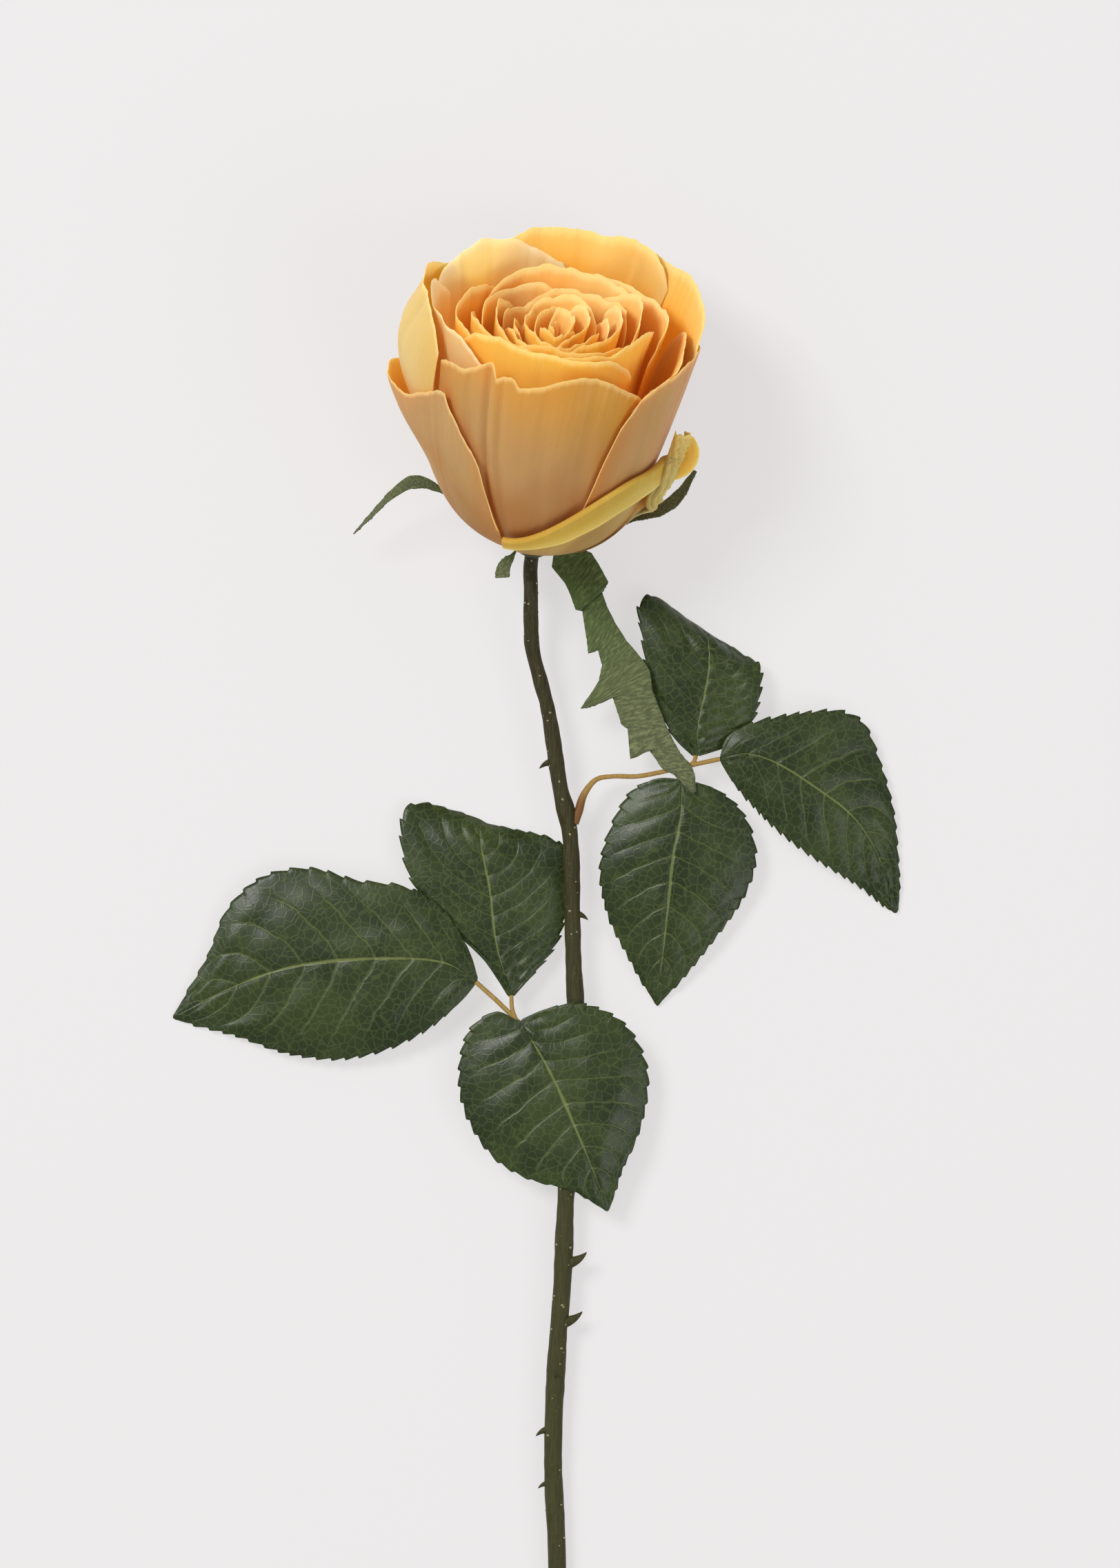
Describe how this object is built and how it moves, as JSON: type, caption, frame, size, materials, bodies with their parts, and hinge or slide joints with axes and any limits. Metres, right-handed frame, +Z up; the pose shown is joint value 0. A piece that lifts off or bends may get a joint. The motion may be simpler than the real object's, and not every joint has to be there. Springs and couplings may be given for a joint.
{
  "type": "cut rose",
  "caption": "Long-stemmed rose with an open cupped bloom, jagged sepals, serrated compound leaves and small prickles, lying on its side.",
  "frame": {"origin": "middle of the bounding box's bottom face, on the surface the flower lies on", "axes": "+Y along the stem from the cut end to the bloom, +Z up from the surface, +X to the right seen from above with the bloom away from the viewer"},
  "size_m": [0.2004, 0.4, 0.081],
  "materials": {
    "guard_petals": "soft matte, buff orange with a yellow-green tinge",
    "inner_petals": "soft matte, golden orange with paler rims",
    "leaves": "satin, dark green with pale veins",
    "sepals": "ribbed matte, mid green",
    "stem": "satin, olive green",
    "leaf_stalks": "satin, yellow brown",
    "calyx": "matte, dark green"
  },
  "bodies": {
    "root": {"inner_petal_01": "inner_petals", "inner_petal_02": "inner_petals", "inner_petal_03": "inner_petals", "inner_petal_04": "inner_petals", "inner_petal_05": "inner_petals", "inner_petal_06": "inner_petals", "inner_petal_07": "inner_petals", "inner_petal_08": "inner_petals", "inner_petal_09": "inner_petals", "inner_petal_10": "inner_petals", "inner_petal_11": "inner_petals", "inner_petal_12": "inner_petals", "inner_petal_13": "inner_petals", "inner_petal_14": "inner_petals", "inner_petal_15": "inner_petals", "inner_petal_16": "inner_petals", "inner_petal_17": "inner_petals", "inner_petal_18": "inner_petals", "inner_petal_19": "inner_petals", "inner_petal_20": "inner_petals", "inner_petal_21": "inner_petals", "inner_petal_22": "inner_petals", "inner_petal_23": "inner_petals", "inner_petal_24": "inner_petals", "lower_leaf_stalk": "leaf_stalks", "lower_leaflet_bottom": "leaves", "lower_leaflet_left": "leaves", "lower_leaflet_top": "leaves", "petal_back": "guard_petals", "petal_back_left": "guard_petals", "petal_back_right": "guard_petals", "petal_front": "guard_petals", "petal_front_left": "guard_petals", "petal_inner_left": "guard_petals", "petal_inner_right": "guard_petals", "petal_left": "guard_petals", "petal_low": "guard_petals", "petal_right": "guard_petals", "receptacle": "calyx", "sepal_back": "sepals", "sepal_left": "sepals", "sepal_long": "sepals", "sepal_right": "sepals", "sepal_short": "sepals", "stem": "stem", "upper_leaf_stalk": "leaf_stalks", "upper_leaflet_bottom": "leaves", "upper_leaflet_end": "leaves", "upper_leaflet_top": "leaves"}
  },
  "joints": []
}
